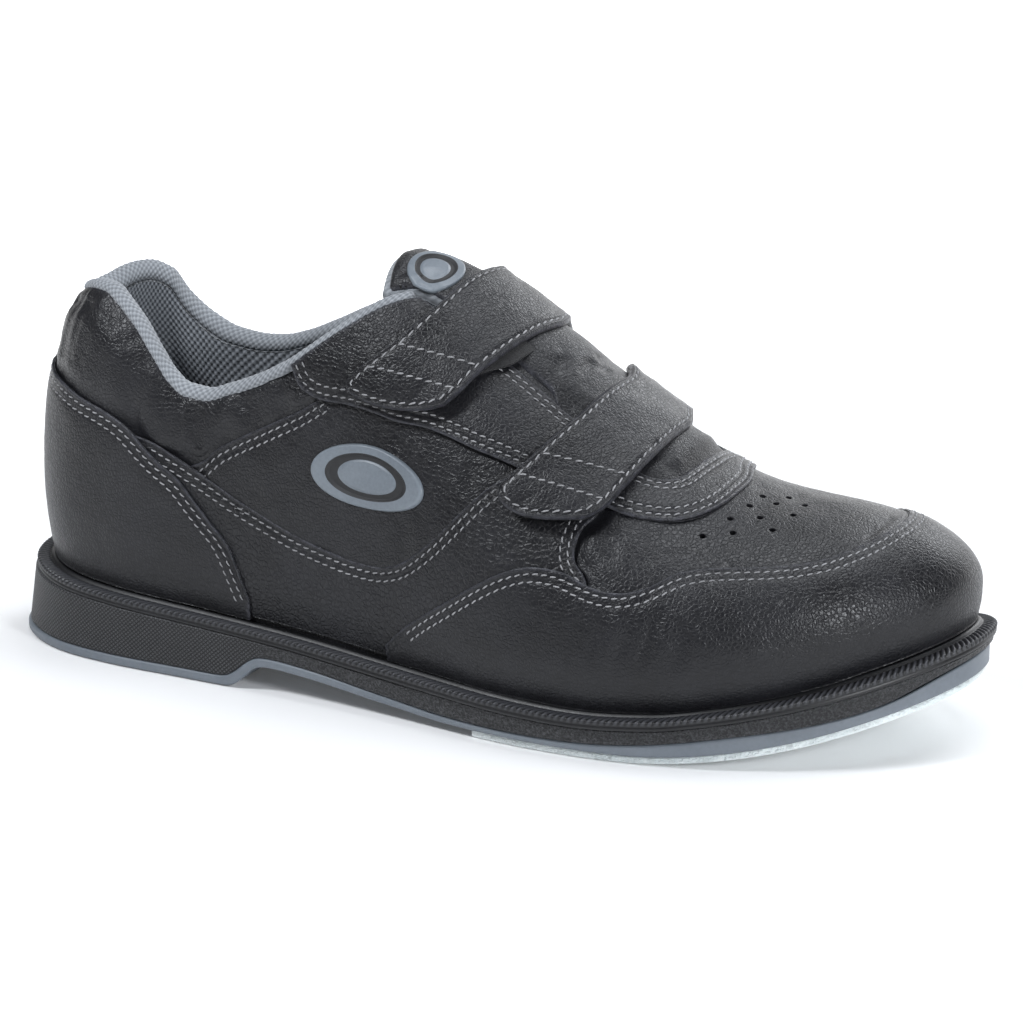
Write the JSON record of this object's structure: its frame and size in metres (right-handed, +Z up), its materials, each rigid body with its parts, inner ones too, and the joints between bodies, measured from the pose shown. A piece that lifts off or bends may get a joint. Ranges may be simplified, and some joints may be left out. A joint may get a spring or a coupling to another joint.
{
  "type": "bowling shoe",
  "caption": "Right bowling shoe with a felt slide pad under the forefoot, a padded collar and hook-and-loop straps over a hinged tongue.",
  "frame": {"origin": "centre of the bounding box in plan, on the ground the sole rests on", "axes": "+X to the toe, -Y to the outer (lateral) side, +Z up"},
  "size_m": [0.3077, 0.1086, 0.1285],
  "materials": {
    "upper_leather": "soft grained leather, satin",
    "strap_leather": "soft grained leather, satin",
    "sole_black": "moulded rubber, fine texture, matte",
    "welt_black": "ribbed rubber, matte",
    "outsole_grey": "smooth grey rubber, matte",
    "slide_felt": "white napped felt",
    "lining_mesh": "grey spacer mesh",
    "binding_knit": "light grey knit",
    "foam": "open cell foam",
    "hook_loop": "black hook and loop tape",
    "badge_grey": "raised blue-grey rubber",
    "board": "fibre board",
    "stiffener": "thermoplastic stiffener",
    "shank_steel": "spring steel strip",
    "footbed_foam": "cloth covered foam"
  },
  "bodies": {
    "shoe": {"outsole": "outsole_grey", "midsole": "sole_black", "welt": "welt_black", "slide_pad": "slide_felt", "insole_board": "board", "footbed": "footbed_foam", "shank": "shank_steel", "heel_foxing": "upper_leather", "toe_mudguard": "upper_leather", "lateral_side_panel": "upper_leather", "medial_side_panel": "upper_leather", "lateral_quarter": "upper_leather", "medial_quarter": "upper_leather", "collar_leather": "upper_leather", "collar_foam": "foam", "collar_lining": "lining_mesh", "collar_binding": "binding_knit", "heel_counter": "stiffener", "toe_puff": "stiffener", "vamp": "upper_leather", "vamp_lining": "lining_mesh", "facing": "upper_leather", "tongue_base": "upper_leather", "side_badge": "badge_grey", "upper_strap_loop_patch": "hook_loop", "lower_strap_loop_patch": "hook_loop", "upper_strap_anchor": "strap_leather", "lower_strap_anchor": "strap_leather"},
    "tongue": {"tongue_leather": "upper_leather", "tongue_foam": "foam", "tongue_lining": "lining_mesh", "tongue_badge": "badge_grey"},
    "upper_strap": {"upper_strap_band": "strap_leather"},
    "upper_strap_end": {"upper_strap_tab": "strap_leather", "upper_strap_hook_patch": "hook_loop"},
    "lower_strap": {"lower_strap_band": "strap_leather"},
    "lower_strap_end": {"lower_strap_tab": "strap_leather", "lower_strap_hook_patch": "hook_loop"}
  },
  "joints": [
    {"name": "upper_strap_swing", "type": "hinge", "parent": "shoe", "child": "upper_strap", "pos_m": [0.00936, 0.03178, 0.09234], "axis": [-0.9292, -0.0934, 0.3575], "range_deg": [0, 130]},
    {"name": "upper_strap_peel", "type": "hinge", "parent": "upper_strap", "child": "upper_strap_end", "pos_m": [-0.00127, -0.02902, 0.10706], "axis": [-0.973, -0.1455, 0.1791], "range_deg": [0, 90]},
    {"name": "lower_strap_swing", "type": "hinge", "parent": "shoe", "child": "lower_strap", "pos_m": [0.04641, 0.03408, 0.07819], "axis": [-0.9355, -0.014, 0.3532], "range_deg": [0, 130]},
    {"name": "lower_strap_peel", "type": "hinge", "parent": "lower_strap", "child": "lower_strap_end", "pos_m": [0.04636, -0.03144, 0.08092], "axis": [-0.9232, -0.3106, 0.2264], "range_deg": [0, 90]},
    {"name": "tongue_lift", "type": "hinge", "parent": "shoe", "child": "tongue", "pos_m": [0.02946, 0.00684, 0.1026], "axis": [0, 1, 0], "range_deg": [0, 26]}
  ],
  "couplings": [
    {"joint": "tongue_lift", "follows": "upper_strap_swing", "ratio": 0.2}
  ]
}
